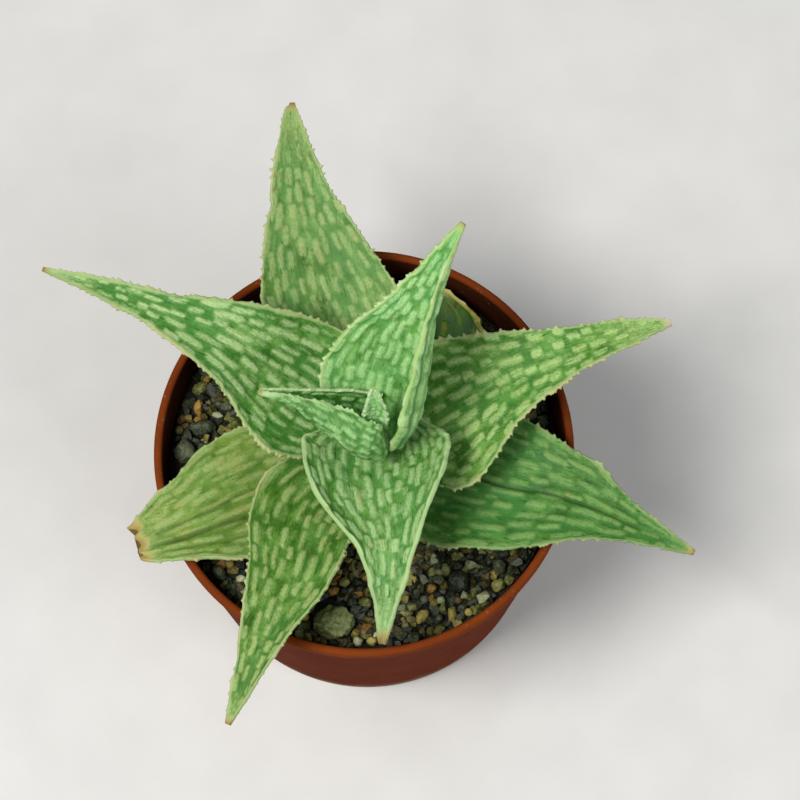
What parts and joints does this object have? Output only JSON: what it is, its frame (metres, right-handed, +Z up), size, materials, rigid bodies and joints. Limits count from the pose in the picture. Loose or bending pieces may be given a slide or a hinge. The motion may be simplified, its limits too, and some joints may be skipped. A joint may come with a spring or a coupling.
{
  "type": "potted aloe plant",
  "caption": "Small spotted aloe rosette with broad pointed leaves, growing in grit in a round tapered plastic nursery pot.",
  "frame": {"origin": "centre of the pot's underside, on the surface it stands on", "axes": "+Z up along the pot's axis, -Y towards the front, where the arching leaf hangs over the grit"},
  "size_m": [0.138, 0.1369, 0.1334],
  "materials": {
    "pot": "satin",
    "soil": "rough",
    "stem": "matte",
    "leaf": "satin",
    "leaf_withered": "matte",
    "stone_dark": "rough",
    "stone_grey": "rough",
    "stone_olive": "rough",
    "stone_amber": "rough",
    "stone_ochre": "rough",
    "stone_brown": "rough",
    "stone_pale": "rough"
  },
  "bodies": {
    "root": {"pot": "pot", "soil": "soil", "stem": "stem", "leaf_north": "leaf", "leaf_west": "leaf", "leaf_east": "leaf", "leaf_southeast": "leaf", "leaf_south": "leaf", "leaf_southwest": "leaf", "leaf_west_low": "leaf", "leaf_inner_north": "leaf", "leaf_inner_west": "leaf", "leaf_bud": "leaf", "leaf_withered": "leaf_withered", "stone_01": "stone_dark", "stone_02": "stone_amber", "stone_03": "stone_ochre", "stone_04": "stone_amber", "stone_05": "stone_pale", "stone_06": "stone_ochre", "stone_07": "stone_olive", "stone_08": "stone_brown", "stone_09": "stone_amber", "stone_10": "stone_olive", "stone_11": "stone_dark", "stone_12": "stone_amber", "stone_13": "stone_ochre", "stone_14": "stone_ochre", "stone_15": "stone_olive", "stone_16": "stone_ochre", "stone_17": "stone_grey", "stone_18": "stone_grey", "stone_19": "stone_pale", "stone_20": "stone_brown", "stone_21": "stone_dark", "stone_22": "stone_olive", "stone_23": "stone_pale", "stone_24": "stone_dark", "stone_25": "stone_grey", "stone_26": "stone_olive", "stone_27": "stone_grey", "stone_28": "stone_brown", "stone_29": "stone_amber", "stone_30": "stone_olive", "stone_31": "stone_pale", "stone_32": "stone_grey", "stone_33": "stone_grey"}
  },
  "joints": []
}
